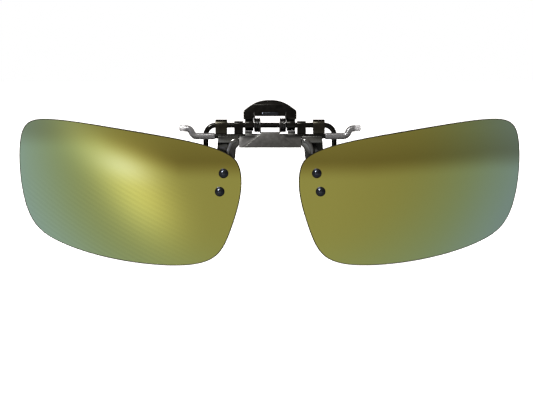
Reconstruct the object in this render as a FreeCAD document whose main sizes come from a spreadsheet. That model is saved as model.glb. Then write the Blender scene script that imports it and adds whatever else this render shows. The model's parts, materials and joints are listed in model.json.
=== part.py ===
import FreeCAD, Part
import math
import os

import Sketcher
from FreeCAD import Placement, Rotation, Vector

# Clip-on flip lenses for spectacles, in millimetres.
#
# X runs along the hinge shaft, +Y points at the wearer and +Z up. The origin is the middle of
# the hinge shaft, on its axis. Two parallel wires carry everything: the shaft, whose bent ends
# are the rear claws, and below and in front of it the front claw wire, about which the lenses
# flip up. Everything is symmetric about the YZ plane, so a piece's x places are given once.

doc = FreeCAD.newDocument("clip_on_flip_lenses")

# ---------------------------------------------------------------- driving dimensions

DIMENSIONS = {
    # wires
    "shaft_radius": 0.70,
    "claw_radius": 0.65,
    "claw_forward": 1.80,
    "claw_drop": 2.90,
    "running_gap": 0.05,
    "seat_gap": 0.01,
    # rear claws
    "prong_reach": 17.40,
    "prong_bend": 2.70,
    "prong_straight": 10.50,
    "prong_length": 14.50,
    "prong_lead_in": 1.60,
    "prong_splay": 0.50,
    # front claws
    "arm_reach": 20.60,
    "arm_rise_out": 1.00,
    "arm_rise": 2.00,
    "arm_tip_out": 1.30,
    "arm_tip_rise": 0.10,
    "arm_lean": 0.50,
    "arm_bend": 1.40,
    # soft sleeves
    "sleeve_radius": 0.90,
    "front_sleeve_start": 14.90,
    "front_sleeve_spare": 1.50,
    "rear_sleeve_start": 6.50,
    "rear_sleeve_spare": 0.60,
    # links from the shaft to the front claw wire
    "inner_link_start": 7.30,
    "inner_link_end": 9.70,
    "inner_link_radius": 1.10,
    "outer_link_start": 11.60,
    "outer_link_end": 14.80,
    "outer_link_radius": 1.54,
    "link_sheet": 0.70,
    "link_strap_top": 1.70,
    "link_foot": 3.40,
    # thumb tab
    "tab_sheet": 0.80,
    "tab_half_width": 7.20,
    "tab_knuckle_start": 4.50,
    "tab_knuckle_end": 6.80,
    "tab_knuckle_radius": 1.55,
    "tab_window_half": 4.00,
    "tab_window_top": 2.40,
    "tab_window_flare": 0.40,
    "tab_window_round": 0.35,
    "tab_shoulder": 3.90,
    "tab_shoulder_round": 0.80,
    "tab_crown_half": 3.30,
    "tab_crown_round": 9.00,
    "tab_top": 6.70,
    "tab_front_bend": 1.55,
    "tab_front_bend_down": 1.20,
    "tab_back_bend": 2.30,
    "tab_back_bend_down": 1.50,
    "tab_foot_bend_round": 1.50,
    "tab_bend_round": 1.00,
    "tab_inner_bend_round": 0.60,
    "tab_curl_start": 2.80,
    "tab_curl": 3.70,
    "tab_curl_round": 0.30,
    # torsion spring
    "spring_wire_radius": 0.22,
    "spring_coil_radius": 1.70,
    "spring_coil_inner": 2.75,
    "spring_coil_outer": 4.20,
    "spring_turns": 3,
    "spring_foot_up": 3.30,
    "spring_foot_gap": 0.03,
    "spring_bar_lean": 20,
    # flip plate
    "plate_sheet": 0.70,
    "plate_half_width": 8.40,
    "plate_taper": 0.10,
    "plate_bottom": 5.95,
    "plate_knuckle_start": 4.80,
    "plate_knuckle_end": 6.80,
    "plate_emboss": 0.15,
    "emboss_margin": 0.25,
    "emboss_end_margin": 1.60,
    "detent_half_width": 2.50,
    "detent_top": 1.70,
    "detent_round": 0.30,
    "notch_floor": 2.50,
    # lens brackets
    "bracket_sheet": 0.70,
    "bracket_inner": 7.60,
    "bracket_top": 3.60,
    "bracket_shoulder": 14.10,
    "bracket_outer_spread": 0.20,
    "bracket_outer_down": 6.20,
    "bracket_heel_down": 5.20,
    "bracket_throat_out": 9.20,
    "bracket_throat_down": 6.30,
    "bracket_neck_out": 9.40,
    "bracket_neck_down": 8.60,
    "bracket_edge": 1.60,
    "bracket_flat": 1.00,
    "bracket_bend_round": 0.60,
    "bracket_tail_radius": 1.70,
    "bracket_tail_round": 1.50,
    "hem_sheet": 0.45,
    "hem_start": 8.50,
    "hem_top": 2.85,
    "hem_bottom": 4.60,
    # lenses
    "lens_width": 61.50,
    "lens_height": 39.80,
    "lens_nose": 7.65,
    "lens_bottom": 38.30,
    "lens_curve_radius": 130.00,
    "lens_thickness": 1.10,
    "lens_apex_out": 14.00,
    "lens_apex_down": 8.00,
    "lens_apex_forward": 4.40,
    "lens_drill_lead": 2.00,
    "lens_drill_length": 5.00,
    # rivets, with their bushes and washers
    "upper_rivet_out": 12.55,
    "upper_rivet_down": 12.80,
    "lower_rivet_out": 13.60,
    "lower_rivet_down": 17.75,
    "rivet_radius": 0.70,
    "rivet_head_radius": 1.32,
    "rivet_head_height": 0.85,
    "rivet_tail_radius": 1.15,
    "rivet_tail_height": 0.40,
    "bush_radius": 0.98,
    "washer_radius": 1.30,
}

sheet = doc.addObject("Spreadsheet::Sheet", "Dims")
for row, (alias, number) in enumerate(DIMENSIONS.items(), start=1):
    sheet.set(f"A{row}", alias)
    sheet.set(f"B{row}", str(number))
    sheet.setAlias(f"B{row}", alias)
doc.recompute()


def size(alias):
    """The number that the sheet holds under this name."""
    return float(getattr(sheet, alias))


# ---------------------------------------------------------------- helpers

SIDES = {"left": -1, "right": 1}
kept = {}


def keep(node, feature):
    """Marks a document object as the sub-part of this name."""
    feature.Label = node
    kept[node] = feature
    return feature


def number_of(feature, formula):
    return float(feature.evalExpression(formula))


def corner_constraints(sketch, first, corners):
    """Ties the corners of a closed polygon to the sheet, one formula for each coordinate."""
    count = len(corners)
    for i in range(count):
        after = first + (i + 1) % count
        sketch.addConstraint(Sketcher.Constraint("Coincident", first + i, 2, after, 1))
    for i, pair in enumerate(corners):
        for kind, formula in zip(("DistanceX", "DistanceY"), pair):
            value = number_of(sketch, formula)
            row = sketch.addConstraint(Sketcher.Constraint(kind, first + i, 1, value))
            sketch.setExpression(f"Constraints[{row}]", formula)


def draw_polygon(sketch, corners):
    points = [Vector(number_of(sketch, x), number_of(sketch, y), 0) for x, y in corners]
    first = len(sketch.Geometry)
    for start, end in zip(points, points[1:] + points[:1]):
        sketch.addGeometry(Part.LineSegment(start, end))
    corner_constraints(sketch, first, corners)


def draw_circle(sketch, x, y, radius):
    centre = Vector(number_of(sketch, x), number_of(sketch, y), 0)
    disc = sketch.addGeometry(Part.Circle(centre, Vector(0, 0, 1), number_of(sketch, radius)))
    rules = [("DistanceX", (disc, 3), x), ("DistanceY", (disc, 3), y), ("Radius", (disc,), radius)]
    for kind, place, formula in rules:
        value = number_of(sketch, formula)
        row = sketch.addConstraint(Sketcher.Constraint(kind, *place, value))
        sketch.setExpression(f"Constraints[{row}]", formula)


def mirrored(half):
    """A closed outline from its x > 0 half, listed from top to bottom."""
    return half + [(f"-({x})", z) for x, z in reversed(half)]


def body_sketch(body, name, role, offset):
    """A sketch on one of the body's own origin planes, moved along the plane's normal."""
    sketch = body.newObject("Sketcher::SketchObject", name)
    plane = next(f for f in body.Origin.OriginFeatures if f.Role == role)
    sketch.AttachmentSupport = [(plane, "")]
    sketch.MapMode = "FlatFace"
    sketch.setExpression(".AttachmentOffset.Base.z", offset)
    doc.recompute()
    return sketch


def pad(body, sketch, length):
    feature = body.newObject("PartDesign::Pad", f"{sketch.Name}_pad")
    feature.Profile = sketch
    feature.setExpression("Length", length)
    sketch.Visibility = False
    doc.recompute()
    return feature


def pocket(body, sketch, length):
    """Cuts along the sketch's own normal, and proves that something was cut."""
    before = body.Shape.Volume
    feature = body.newObject("PartDesign::Pocket", f"{sketch.Name}_pocket")
    feature.Profile = sketch
    feature.Reversed = True
    feature.setExpression("Length", length)
    doc.recompute()
    if body.Shape.Volume > before - 1e-4:
        raise RuntimeError(f"{feature.Name} cuts nothing")
    return feature


def round_edges(body, name, base, radius, chosen):
    """Rounds the edges of base for which chosen(edge) is true."""
    names = [f"Edge{i}" for i, edge in enumerate(base.Shape.Edges, start=1) if chosen(edge)]
    if not names:
        raise RuntimeError(f"{name} finds no edge")
    feature = body.newObject("PartDesign::Fillet", name)
    feature.Base = (base, names)
    feature.setExpression("Radius", radius)
    doc.recompute()
    return feature


def edge_along(edge, axis, corners):
    """True for a straight edge along axis that passes through one of the corner points."""
    start, end = edge.Vertexes[0].Point, edge.Vertexes[-1].Point
    run = end - start
    if run.Length < 1e-6 or abs(abs(run.normalize().dot(axis)) - 1) > 1e-6:
        return False
    flat = start - axis * start.dot(axis)
    return any((flat - corner).Length < 0.02 for corner in corners)


def rounded(solid, name, axis, corners_by_radius):
    """Rounds the straight edges along axis that pass through the given corners."""
    edges = []
    for radius, corners in corners_by_radius.items():
        for i, edge in enumerate(solid.Shape.Edges, start=1):
            if edge_along(edge, axis, corners):
                edges.append((i, radius, radius))
    feature = doc.addObject("Part::Fillet", name)
    feature.Base = solid
    feature.Edges = edges
    doc.recompute()
    return feature


def rounded_path(points, bend):
    """A wire through the points whose corners are arcs of radius bend."""
    pieces = []
    here = points[0]
    for corner, after in zip(points[1:], points[2:]):
        back = (here - corner).normalize()
        ahead = (after - corner).normalize()
        half_angle = back.getAngle(ahead) / 2
        reach = bend / math.tan(half_angle)
        start, end = corner + back * reach, corner + ahead * reach
        inward = (back + ahead).normalize()
        middle = corner + inward * (bend / math.sin(half_angle) - bend)
        pieces.append(Part.LineSegment(here, start).toShape())
        pieces.append(Part.Arc(start, middle, end).toShape())
        here = end
    pieces.append(Part.LineSegment(here, points[-1]).toShape())
    return Part.Wire(pieces)


def rod(path, radius):
    """A round solid of this radius along a path."""
    first = path.Edges[0]
    heading = first.tangentAt(first.FirstParameter)
    ring = Part.makeCircle(radius, first.valueAt(first.FirstParameter), heading)
    return path.makePipeShell([Part.Wire([ring])], True, True)


def shaped(node, shape):
    feature = doc.addObject("Part::Feature", node)
    feature.Shape = shape
    return keep(node, feature)


# ---------------------------------------------------------------- rear jaw


def prong_points(side):
    """Centre line of one rear claw, from the shaft's middle to the tip."""
    reach, straight, down = size("prong_reach"), size("prong_straight"), size("prong_length")
    return [
        Vector(0, 0, 0),
        Vector(side * reach, 0, 0),
        Vector(side * reach, 0, -straight),
        Vector(side * (reach + size("prong_splay")), size("prong_lead_in"), -down),
    ]


def rear_claw_wire():
    """The hinge shaft, whose two ends turn down and form the rear claws."""
    points = list(reversed(prong_points(-1))) + prong_points(1)[1:]
    points.remove(Vector(0, 0, 0))
    shaped("rear_claw_wire", rod(rounded_path(points, size("prong_bend")), size("shaft_radius")))


def rear_sleeve(name, side):
    """Soft tube over the lower end of a rear claw, a little longer than the wire."""
    top, knee, tip = prong_points(side)[1:]
    top.z = -size("rear_sleeve_start")
    tip = tip + (tip - knee).normalize() * size("rear_sleeve_spare")
    path = rounded_path([top, knee, tip], size("prong_bend"))
    bore = rod(path, size("shaft_radius") + size("seat_gap"))
    shaped(f"rear_sleeve_{name}", rod(path, size("sleeve_radius")).cut(bore))


def thumb_tab():
    """Sheet-metal tab that opens the jaw: two knuckles, a window and a crown curled back."""
    side_view = [
        ("Dims.tab_knuckle_radius - Dims.tab_sheet", "0"),
        ("Dims.tab_knuckle_radius", "0"),
        ("Dims.tab_knuckle_radius", "Dims.tab_window_top"),
        ("Dims.tab_back_bend", "Dims.tab_top - Dims.tab_back_bend_down"),
        ("Dims.tab_curl_start", "Dims.tab_top - Dims.tab_sheet"),
        ("Dims.tab_curl", "Dims.tab_top - Dims.tab_sheet"),
        ("Dims.tab_curl", "Dims.tab_top"),
        ("Dims.tab_back_bend", "Dims.tab_top"),
        ("Dims.tab_front_bend", "Dims.tab_top - Dims.tab_front_bend_down"),
        ("Dims.tab_knuckle_radius - Dims.tab_sheet", "Dims.tab_window_top"),
    ]
    front_view = mirrored([
        ("Dims.tab_crown_half", "Dims.tab_top + Dims.seat_gap"),
        ("Dims.tab_half_width", "Dims.tab_shoulder"),
        ("Dims.tab_half_width", "Dims.tab_knuckle_radius"),
        ("Dims.tab_knuckle_end", "Dims.tab_knuckle_radius"),
        ("Dims.tab_knuckle_end", "0"),
        ("Dims.tab_knuckle_start", "0"),
        ("Dims.tab_knuckle_start", "Dims.tab_window_top - Dims.tab_window_flare"),
        ("Dims.tab_window_half", "Dims.tab_window_top"),
    ])
    profile = doc.addObject("Sketcher::SketchObject", "tab_side_view")
    profile.Placement = Placement(Vector(0, 0, 0), Rotation(Vector(1, 1, 1), 120))
    draw_polygon(profile, side_view)
    bent = doc.addObject("Part::Extrusion", "tab_bent_sheet")
    bent.Base = profile
    bent.DirMode = "Custom"
    bent.Dir = (1, 0, 0)
    bent.Solid = True
    bent.Symmetric = True
    bent.setExpression("LengthFwd", "2 * Dims.tab_half_width")
    outline = doc.addObject("Sketcher::SketchObject", "tab_front_view")
    outline.Placement = Placement(Vector(0, 0, 0), Rotation(Vector(1, 0, 0), 90))
    draw_polygon(outline, front_view)
    blank = doc.addObject("Part::Extrusion", "tab_blank")
    blank.Base = outline
    blank.DirMode = "Custom"
    blank.Dir = (0, 1, 0)
    blank.Solid = True
    blank.setExpression("LengthFwd", "Dims.tab_curl + Dims.tab_sheet")
    doc.recompute()
    bends = {"tab_foot_bend_round": (2, 9), "tab_bend_round": (3, 7),
             "tab_inner_bend_round": (4, 8), "tab_curl_round": (5, 6)}
    bent = rounded(bent, "tab_bends", Vector(1, 0, 0), {
        size(radius): [Vector(0, number_of(profile, side_view[i][0]),
                              number_of(profile, side_view[i][1])) for i in corners]
        for radius, corners in bends.items()})
    rounds = {"tab_crown_round": 0, "tab_shoulder_round": 1, "tab_window_round": 7}
    blank = rounded(blank, "tab_corners", Vector(0, 1, 0), {
        size(radius): [Vector(side * number_of(outline, front_view[i][0]), 0,
                              number_of(outline, front_view[i][1])) for side in SIDES.values()]
        for radius, i in rounds.items()})
    plate = doc.addObject("Part::Common", "tab_plate")
    plate.Base = bent
    plate.Tool = blank
    doc.recompute()
    turn = Rotation(Vector(0, 1, 0), 90)
    knuckles = []
    for name, side in SIDES.items():
        knuckle = doc.addObject("Part::Cylinder", f"tab_knuckle_{name}")
        knuckle.Placement = Placement(Vector(0, 0, 0), turn)
        knuckle.setExpression("Radius", "Dims.tab_knuckle_radius")
        knuckle.setExpression("Height", "Dims.tab_knuckle_end - Dims.tab_knuckle_start")
        start = "Dims.tab_knuckle_start" if side > 0 else "-Dims.tab_knuckle_end"
        knuckle.setExpression(".Placement.Base.x", start)
        knuckles.append(knuckle)
    whole = doc.addObject("Part::MultiFuse", "tab_with_knuckles")
    whole.Shapes = [plate] + knuckles
    whole.Refine = True
    bore = doc.addObject("Part::Cylinder", "tab_bore")
    bore.Placement = Placement(Vector(0, 0, 0), turn)
    bore.setExpression("Radius", "Dims.shaft_radius + Dims.seat_gap")
    bore.setExpression("Height", "2 * Dims.tab_half_width")
    bore.setExpression(".Placement.Base.x", "-Dims.tab_half_width")
    tab = doc.addObject("Part::Cut", "tab")
    tab.Base = whole
    tab.Tool = bore
    keep("thumb_tab", tab)


# ---------------------------------------------------------------- front clamp


def arm_points(side):
    """Centre line of one half of the front claw wire, from the middle to the tip."""
    y, z = -size("claw_forward"), -size("claw_drop")
    reach, out, rise = size("arm_reach"), size("arm_rise_out"), size("arm_rise")
    lean, tip_rise = size("arm_lean"), size("arm_tip_rise")
    tip_out = reach + out + size("arm_tip_out")
    return [
        Vector(0, y, z),
        Vector(side * reach, y, z),
        Vector(side * (reach + out), y + lean / 2, z + rise),
        Vector(side * tip_out, y + lean, z + rise + tip_rise),
    ]


def front_claw_wire():
    """One wire across the front, turned up at both ends; it is the lenses' flip axis."""
    points = list(reversed(arm_points(-1)))[:-1] + arm_points(1)[1:]
    shaped("front_claw_wire", rod(rounded_path(points, size("arm_bend")), size("claw_radius")))


def front_sleeve(name, side):
    """Clear soft tube over a front claw, with an empty end beyond the wire's tip."""
    start, heel, knee, tip = arm_points(side)
    start.x = side * size("front_sleeve_start")
    tip = tip + (tip - knee).normalize() * size("front_sleeve_spare")
    path = rounded_path([start, heel, knee, tip], size("arm_bend"))
    bore = rod(path, size("claw_radius") + size("seat_gap"))
    shaped(f"front_sleeve_{name}", rod(path, size("sleeve_radius")).cut(bore))


def link(kind, name, side):
    """Sheet link: it turns on the shaft above and is soldered to the front claw wire below."""
    body = doc.addObject("PartDesign::Body", f"{kind}_link_{name}")
    near, far = f"Dims.{kind}_link_start", f"Dims.{kind}_link_end"
    start = near if side > 0 else f"-{far}"
    width = f"{far} - {near}"
    radius = f"Dims.{kind}_link_radius"
    foot_front = "-Dims.outer_link_radius"
    tail = [
        (f"-{radius}", "0"),
        (foot_front, "-Dims.link_strap_top"),
        (foot_front, "-Dims.link_foot"),
        (f"{foot_front} + Dims.link_sheet", "-Dims.link_foot"),
        (f"{foot_front} + Dims.link_sheet", "-Dims.link_strap_top"),
        ("0", "-Dims.shaft_radius"),
        ("0", "0"),
    ]
    barrel = body_sketch(body, f"{kind}_barrel_{name}", "YZ_Plane", start)
    draw_circle(barrel, "0", "0", radius)
    pad(body, barrel, width)
    strap = body_sketch(body, f"{kind}_strap_{name}", "YZ_Plane", start)
    draw_polygon(strap, tail)
    pad(body, strap, width)
    holes = [
        ("bore", "0", "0", "Dims.shaft_radius + Dims.running_gap"),
        ("seat", "-Dims.claw_forward", "-Dims.claw_drop", "Dims.claw_radius + Dims.seat_gap"),
    ]
    for hole, y, z, hole_radius in holes:
        sketch = body_sketch(body, f"{kind}_{hole}_{name}", "YZ_Plane", start)
        draw_circle(sketch, y, z, hole_radius)
        pocket(body, sketch, width)
    keep(f"{kind}_link_{name}", body)


def spring_half():
    """Right half of the double torsion spring, from its foot to the middle of the bar.

    The foot rises in front of the tab; the coils run round the shaft, and the bar between the
    two halves rests on the upper front of the front claw wire.
    """
    coil, wire = size("spring_coil_radius"), size("spring_wire_radius")
    touch = size("claw_radius") + wire + size("seat_gap")
    lean = math.radians(size("spring_bar_lean"))
    bar_y = -size("claw_forward") - touch * math.sin(lean)
    bar_z = -size("claw_drop") + touch * math.cos(lean)
    foot_y = size("tab_knuckle_radius") - size("tab_sheet") - wire - size("spring_foot_gap")
    foot_z = size("spring_foot_up")
    foot_turn = math.atan2(foot_z, foot_y) + math.acos(coil / math.hypot(foot_y, foot_z))
    bar_turn = math.atan2(bar_z, bar_y) % (2 * math.pi)
    bar_turn -= math.acos(coil / math.hypot(bar_y, bar_z))
    bar_turn += 2 * math.pi * size("spring_turns")
    inner, outer = size("spring_coil_inner"), size("spring_coil_outer")
    pitch = 2 * math.pi * (outer - inner) / (bar_turn - foot_turn)

    def on_coil(x, turn):
        place = Vector(x, coil * math.cos(turn), coil * math.sin(turn))
        heading = Vector(-pitch / (2 * math.pi), -coil * math.sin(turn), coil * math.cos(turn))
        return place, heading.normalize()

    coils = Part.makeHelix(pitch, outer - inner, coil, 0, True)
    coils.rotate(Vector(0, 0, 0), Vector(0, 0, 1), math.degrees(bar_turn))
    coils.rotate(Vector(0, 0, 0), Vector(1, 1, 1), 120)
    coils.translate(Vector(inner, 0, 0))
    start, heading = on_coil(outer, foot_turn)
    foot = start - heading * math.hypot(foot_y - start.y, foot_z - start.z)
    end, heading = on_coil(inner, bar_turn)
    elbow = end + heading * math.hypot(bar_y - end.y, bar_z - end.z)
    bar = rounded_path([end, elbow, Vector(0, elbow.y, elbow.z)], 2 * wire)
    leg = Part.LineSegment(foot, start).toShape()
    path = Part.Wire(Part.__sortEdges__([leg] + coils.Edges + bar.Edges))
    return rod(path, wire)


def torsion_spring():
    half = spring_half()
    whole = half.fuse(half.mirror(Vector(), Vector(1, 0, 0))).removeSplitter()
    shaped("torsion_spring", whole)


# ---------------------------------------------------------------- lens frame


def flip_plate():
    """Plate that carries both lenses: two knuckles on the front claw wire and a detent tongue."""
    body = doc.addObject("PartDesign::Body", "flip_plate")
    outline = mirrored([
        ("Dims.detent_half_width", "-Dims.detent_top"),
        ("Dims.detent_half_width", "-Dims.notch_floor"),
        ("Dims.plate_knuckle_start", "-Dims.notch_floor"),
        ("Dims.plate_knuckle_start", "-Dims.claw_drop"),
        ("Dims.plate_half_width - Dims.plate_taper", "-Dims.claw_drop"),
        ("Dims.plate_half_width", "-Dims.plate_bottom"),
    ])
    back = "Dims.claw_forward + Dims.claw_radius + Dims.running_gap"
    flat = body_sketch(body, "plate_outline", "XZ_Plane", back)
    draw_polygon(flat, outline)
    pad(body, flat, "Dims.plate_sheet")
    raised = body_sketch(body, "plate_raised_middle", "XZ_Plane", f"{back} + Dims.plate_sheet")
    draw_polygon(raised, mirrored([
        ("Dims.detent_half_width - Dims.emboss_margin", "-Dims.detent_top - Dims.emboss_margin"),
        ("Dims.plate_half_width - Dims.emboss_end_margin", "-Dims.plate_bottom + Dims.emboss_margin"),
    ]))
    pad(body, raised, "Dims.plate_emboss")
    knuckle_radius = "Dims.claw_radius + Dims.running_gap + Dims.plate_sheet"
    width = "Dims.plate_knuckle_end - Dims.plate_knuckle_start"
    for name, side in SIDES.items():
        start = "Dims.plate_knuckle_start" if side > 0 else "-Dims.plate_knuckle_end"
        barrel = body_sketch(body, f"plate_barrel_{name}", "YZ_Plane", start)
        draw_circle(barrel, "-Dims.claw_forward", "-Dims.claw_drop", knuckle_radius)
        pad(body, barrel, width)
        bore = body_sketch(body, f"plate_bore_{name}", "YZ_Plane", start)
        draw_circle(bore, "-Dims.claw_forward", "-Dims.claw_drop",
                    "Dims.claw_radius + Dims.running_gap")
        pocket(body, bore, width)
    tongue = [Vector(side * size("detent_half_width"), 0, -size("detent_top"))
              for side in SIDES.values()]
    round_edges(body, "plate_tongue_corners", body.Tip, "Dims.detent_round",
                lambda edge: edge_along(edge, Vector(0, 1, 0), tongue))
    keep("flip_plate", body)


def rivet_places(side):
    """Names of the two rivets on one side, with the formulas of their x and z."""
    sign = "" if side > 0 else "-"
    return {
        "upper": (f"{sign}Dims.upper_rivet_out", "-Dims.upper_rivet_down"),
        "lower": (f"{sign}Dims.lower_rivet_out", "-Dims.lower_rivet_down"),
    }


BRACKET_FRONT = "Dims.claw_forward + Dims.claw_radius + Dims.running_gap - Dims.seat_gap"


def lens_bracket(name, side):
    """Stamped arm from the flip plate's end to the two rivets behind a lens.

    Its hem stands in front of the front claw wire, level with the flip plate.
    """
    body = doc.addObject("PartDesign::Body", f"lens_bracket_{name}")
    sign = "" if side > 0 else "-"
    tail = "Dims.bracket_tail_radius"
    right = [
        ("Dims.bracket_inner", "-Dims.bracket_top"),
        ("Dims.bracket_shoulder", "-Dims.bracket_top"),
        ("Dims.bracket_shoulder + Dims.bracket_outer_spread", "-Dims.bracket_outer_down"),
        ("Dims.upper_rivet_out + Dims.bracket_edge", "-Dims.upper_rivet_down + Dims.bracket_flat"),
        (f"Dims.lower_rivet_out + {tail}", "-Dims.lower_rivet_down + Dims.bracket_flat"),
        (f"Dims.lower_rivet_out + {tail}", f"-Dims.lower_rivet_down - {tail}"),
        (f"Dims.lower_rivet_out - {tail}", f"-Dims.lower_rivet_down - {tail}"),
        (f"Dims.upper_rivet_out - {tail}", "-Dims.upper_rivet_down"),
        ("Dims.bracket_neck_out", "-Dims.bracket_neck_down"),
        ("Dims.bracket_throat_out", "-Dims.bracket_throat_down"),
        ("Dims.plate_half_width - Dims.plate_taper", "-Dims.bracket_heel_down"),
        ("Dims.bracket_inner", "-Dims.bracket_heel_down"),
    ]
    outline = [(f"{sign}({x})", z) for x, z in right]
    back = f"{BRACKET_FRONT} - Dims.bracket_sheet"
    flat = body_sketch(body, f"bracket_outline_{name}", "XZ_Plane", back)
    draw_polygon(flat, outline)
    blank = pad(body, flat, "Dims.bracket_sheet")
    corners = [Vector(number_of(flat, x), 0, number_of(flat, z)) for x, z in outline]
    round_edges(body, f"bracket_tail_{name}", blank, "Dims.bracket_tail_round",
                lambda edge: edge_along(edge, Vector(0, 1, 0), corners[5:7]))
    round_edges(body, f"bracket_bends_{name}", body.Tip, "Dims.bracket_bend_round",
                lambda edge: edge_along(edge, Vector(0, 1, 0), corners[8:10]))
    hem_top_corner = (f"{sign}Dims.bracket_shoulder", "-Dims.hem_top")
    hem = body_sketch(body, f"bracket_hem_{name}", "XZ_Plane", BRACKET_FRONT)
    draw_polygon(hem, [
        (f"{sign}Dims.hem_start", "-Dims.hem_top"),
        hem_top_corner,
        (f"{sign}Dims.bracket_shoulder", "-Dims.hem_bottom"),
        (f"{sign}Dims.hem_start", "-Dims.hem_bottom"),
    ])
    folded = pad(body, hem, "Dims.hem_sheet")
    top_corner = Vector(number_of(hem, hem_top_corner[0]), 0, number_of(hem, hem_top_corner[1]))
    round_edges(body, f"bracket_hem_corner_{name}", folded, "Dims.bracket_bend_round",
                lambda edge: edge_along(edge, Vector(0, 1, 0), [top_corner]))
    for place, (x, z) in rivet_places(side).items():
        hole = body_sketch(body, f"bracket_{place}_hole_{name}", "XZ_Plane", back)
        draw_circle(hole, x, z, "Dims.rivet_radius + Dims.seat_gap")
        pocket(body, hole, "Dims.bracket_sheet")
    keep(f"lens_bracket_{name}", body)


# One lens's outline, from the nose outward as shares of its width and from the bottom up as
# shares of its height: the outer corner first, then down, along the bottom and up the nose side.
LENS_OUTLINE = [
    (0.963, 0.965), (0.998, 0.804), (0.954, 0.327), (0.824, 0.151), (0.593, 0.045),
    (0.295, 0.000), (0.120, 0.063), (0.046, 0.259), (0.002, 0.525), (0.014, 0.701),
    (0.059, 0.771), (0.191, 0.844), (0.546, 0.942), (0.871, 1.000),
]


def lens_outline(side):
    """The closed smooth outline as a face in the XZ plane."""
    points = []
    for across, up in LENS_OUTLINE:
        x = size("lens_nose") + across * size("lens_width")
        points.append(Vector(side * x, 0, up * size("lens_height") - size("lens_bottom")))
    knots = [0.0]
    for start, end in zip(points, points[1:] + points[:1]):
        knots.append(knots[-1] + math.sqrt((end - start).Length))
    curve = Part.BSplineCurve()
    curve.interpolate(Points=points, PeriodicFlag=True, Parameters=knots)
    return Part.Face(Part.Wire([curve.toShape()]))


def lens(name, side):
    """Spherical shell cut to the outline, with two holes for the rivets' bushes."""
    outline = doc.addObject("Part::Feature", f"lens_outline_{name}")
    outline.Shape = lens_outline(side)
    blank = doc.addObject("Part::Extrusion", f"lens_blank_{name}")
    blank.Base = outline
    blank.DirMode = "Custom"
    blank.Dir = (0, 1, 0)
    blank.Solid = True
    blank.Symmetric = True
    blank.setExpression("LengthFwd", "Dims.lens_width / 2")
    sign = "" if side > 0 else "-"
    faces = []
    for surface, radius in (("front", "Dims.lens_curve_radius"),
                            ("back", "Dims.lens_curve_radius - Dims.lens_thickness")):
        ball = doc.addObject("Part::Sphere", f"lens_{surface}_{name}")
        ball.Placement.Rotation = Rotation(Vector(1, 0, 0), 90)
        ball.setExpression("Radius", radius)
        ball.setExpression(".Placement.Base.x", f"{sign}Dims.lens_apex_out")
        ball.setExpression(".Placement.Base.y", "Dims.lens_curve_radius - Dims.lens_apex_forward")
        ball.setExpression(".Placement.Base.z", "-Dims.lens_apex_down")
        faces.append(ball)
    shell = doc.addObject("Part::Cut", f"lens_shell_{name}")
    shell.Base, shell.Tool = faces
    curved = doc.addObject("Part::Common", f"lens_curved_{name}")
    curved.Base = blank
    curved.Tool = shell
    holes = []
    for place, (x, z) in rivet_places(side).items():
        hole = round_along_y(f"lens_{place}_hole_{name}", x, z,
                             "-Dims.lens_apex_forward - Dims.lens_drill_lead",
                             "Dims.lens_drill_length", "Dims.bush_radius + Dims.seat_gap")
        holes.append(hole)
    drill = doc.addObject("Part::MultiFuse", f"lens_drill_{name}")
    drill.Shapes = holes
    drilled = doc.addObject("Part::Cut", f"lens_drilled_{name}")
    drilled.Base = curved
    drilled.Tool = drill
    keep(f"lens_{name}", drilled)


def round_along_y(name, x, z, front, length, radius):
    """A cylinder that runs from front along +Y; all five are formulas."""
    solid = doc.addObject("Part::Cylinder", name)
    solid.Placement = Placement(Vector(0, 0, 0), Rotation(Vector(1, 0, 0), -90))
    places = {".Placement.Base.x": x, ".Placement.Base.y": front, ".Placement.Base.z": z}
    for prop, formula in {**places, "Radius": radius, "Height": length}.items():
        solid.setExpression(prop, formula)
    return solid


def lens_surface(x, z, radius, rim):
    """Formula for the y of a lens surface above x, z, at its most rearward within rim."""
    out = f"(abs({x}) - Dims.lens_apex_out)"
    down = f"(abs({z}) - Dims.lens_apex_down + {rim})"
    centre = "Dims.lens_curve_radius - Dims.lens_apex_forward"
    return f"({centre} - sqrt(({radius})^2 - {out}^2 - {down}^2))"


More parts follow.
